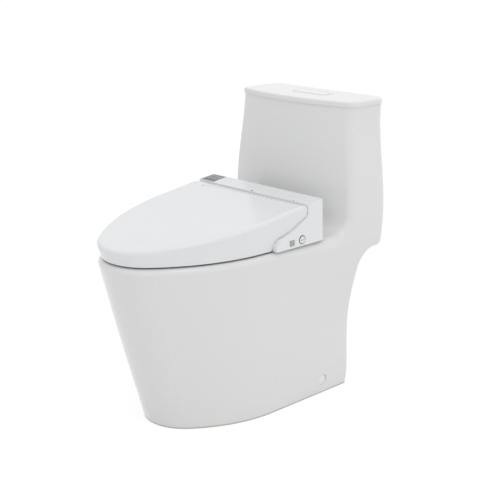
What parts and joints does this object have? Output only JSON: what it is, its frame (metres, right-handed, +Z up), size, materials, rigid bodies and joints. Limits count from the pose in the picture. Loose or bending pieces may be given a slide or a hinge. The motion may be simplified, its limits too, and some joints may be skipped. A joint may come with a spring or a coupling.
{
  "type": "smart toilet with heated seat",
  "caption": "One-piece skirted toilet with dual-flush cistern and an electric bidet seat: heated seat ring, sloping lid, spray nozzles and warm-air dryer on a slide-on mount",
  "frame": {"origin": "middle of the footprint box on the floor, under the cistern's front edge region", "axes": "+Z up, -Y the front of the bowl, +X the sitter's left-hand side, +Y towards the wall"},
  "size_m": [0.4006, 0.7058, 0.7178],
  "materials": {
    "china": "clear gloss glaze on white vitreous china",
    "plated": "bright plated push pads and bezel",
    "cistern_white": "moulded white cistern fittings",
    "cistern_blue": "moulded blue cistern fittings",
    "rubber_red": "soft red silicone",
    "rubber_black": "black rubber",
    "rubber_white": "white elastomer",
    "steel": "plain stainless steel",
    "seat_white": "cool white gloss plastic",
    "fixing_grey": "glass-filled nylon",
    "base_grey": "light grey moulding",
    "panel_grey": "grey gloss control panel",
    "lens_dark": "dark infrared window",
    "nozzle_white": "smooth white nozzle wand",
    "motor_black": "black moulded motor parts",
    "brass_nickel": "threaded brass fitting",
    "board_green": "solder-masked circuit board",
    "foil": "aluminium heating foil"
  },
  "bodies": {
    "pedestal": {"ceramic_body": "china", "flush_valve_tower": "cistern_white", "flush_valve_gasket": "rubber_black", "fill_valve_body": "cistern_white", "fill_valve_gasket": "rubber_black", "fill_valve_nut": "cistern_white", "outlet_seal": "rubber_black", "floor_brackets": "steel", "side_screws": "steel", "side_caps": "seat_white", "base_plate": "fixing_grey", "base_plate_bolts": "steel", "deck_sleeves": "rubber_black", "deck_nuts": "fixing_grey"},
    "cistern_cover": {"tank_lid": "china", "flush_button_frame": "plated"},
    "full_button": {"full_flush_button": "plated"},
    "half_button": {"half_flush_button": "plated"},
    "flush_lift": {"flush_canister": "cistern_blue", "flush_valve_seal": "rubber_red"},
    "float_cup": {"fill_valve_float": "cistern_blue"},
    "seat_unit": {"housing_cover": "seat_white", "housing_base": "base_grey", "unit_feet": "rubber_white", "display_panel": "panel_grey", "sensor_window": "lens_dark", "hinge_posts": "fixing_grey", "soft_close_dampers": "steel", "nozzle_block": "base_grey", "nozzle_motor": "motor_black", "water_heater": "base_grey", "solenoid_valve": "cistern_blue", "inlet_fitting": "brass_nickel", "dryer_blower": "motor_black", "dryer_motor": "steel", "dryer_duct": "base_grey", "control_board": "board_green", "deodoriser_filter": "base_grey", "cord_gland": "rubber_white"},
    "release": {"release_button": "seat_white"},
    "drain": {"drain_plug": "seat_white"},
    "seat": {"seat_upper_shell": "seat_white", "seat_lower_shell": "seat_white", "seat_heater": "foil", "seat_bumpers": "rubber_white"},
    "lid": {"lid_shell": "seat_white", "lid_bumpers": "rubber_white"},
    "rear_wand": {"rear_nozzle": "nozzle_white"},
    "front_wand": {"front_nozzle": "nozzle_white"},
    "fan": {"dryer_impeller": "fixing_grey"}
  },
  "joints": [
    {"name": "unit_slide", "type": "slide", "parent": "pedestal", "child": "seat_unit", "axis": [0, -1, 0], "range_m": [0, 0.05]},
    {"name": "seat_hinge", "type": "hinge", "parent": "seat_unit", "child": "seat", "pos_m": [0, 0.062, 0.482], "axis": [-1, 0, 0], "range_deg": [0, 95]},
    {"name": "lid_hinge", "type": "hinge", "parent": "seat", "child": "lid", "pos_m": [0, 0.062, 0.482], "axis": [1, 0, 0], "range_deg": [-100, 0]},
    {"name": "cistern_lid_lift", "type": "slide", "parent": "pedestal", "child": "cistern_cover", "axis": [0, 0, 1], "range_m": [0, 0.1]},
    {"name": "full_flush_press", "type": "slide", "parent": "cistern_cover", "child": "full_button", "axis": [0, 0, -1], "range_m": [0, 0.006], "stiffness_N_per_m": 600, "springref_m": -0.003},
    {"name": "half_flush_press", "type": "slide", "parent": "cistern_cover", "child": "half_button", "axis": [0, 0, -1], "range_m": [0, 0.006], "stiffness_N_per_m": 600, "springref_m": -0.003},
    {"name": "flush_valve_lift", "type": "slide", "parent": "pedestal", "child": "flush_lift", "axis": [0, 0, 1], "range_m": [0, 0.012]},
    {"name": "float_rise", "type": "slide", "parent": "pedestal", "child": "float_cup", "axis": [0, 0, 1], "range_m": [0, 0.1]},
    {"name": "release_press", "type": "slide", "parent": "seat_unit", "child": "release", "axis": [-1, 0, 0], "range_m": [0, 0.003], "stiffness_N_per_m": 800, "springref_m": -0.002},
    {"name": "drain_turn", "type": "hinge", "parent": "seat_unit", "child": "drain", "pos_m": [0.1865, 0.058, 0.4215], "axis": [1, 0, 0], "range_deg": [0, 90]},
    {"name": "rear_nozzle_slide", "type": "slide", "parent": "seat_unit", "child": "rear_wand", "axis": [0, -0.9397, -0.342], "range_m": [0, 0.08]},
    {"name": "front_nozzle_slide", "type": "slide", "parent": "seat_unit", "child": "front_wand", "axis": [0, -0.9397, -0.342], "range_m": [0, 0.08]},
    {"name": "fan_spin", "type": "hinge", "parent": "seat_unit", "child": "fan", "pos_m": [0.05, 0.114, 0.451], "axis": [1, 0, 0], "continuous": true}
  ],
  "couplings": [
    {"joint": "flush_valve_lift", "follows": "full_flush_press", "ratio": 2}
  ]
}
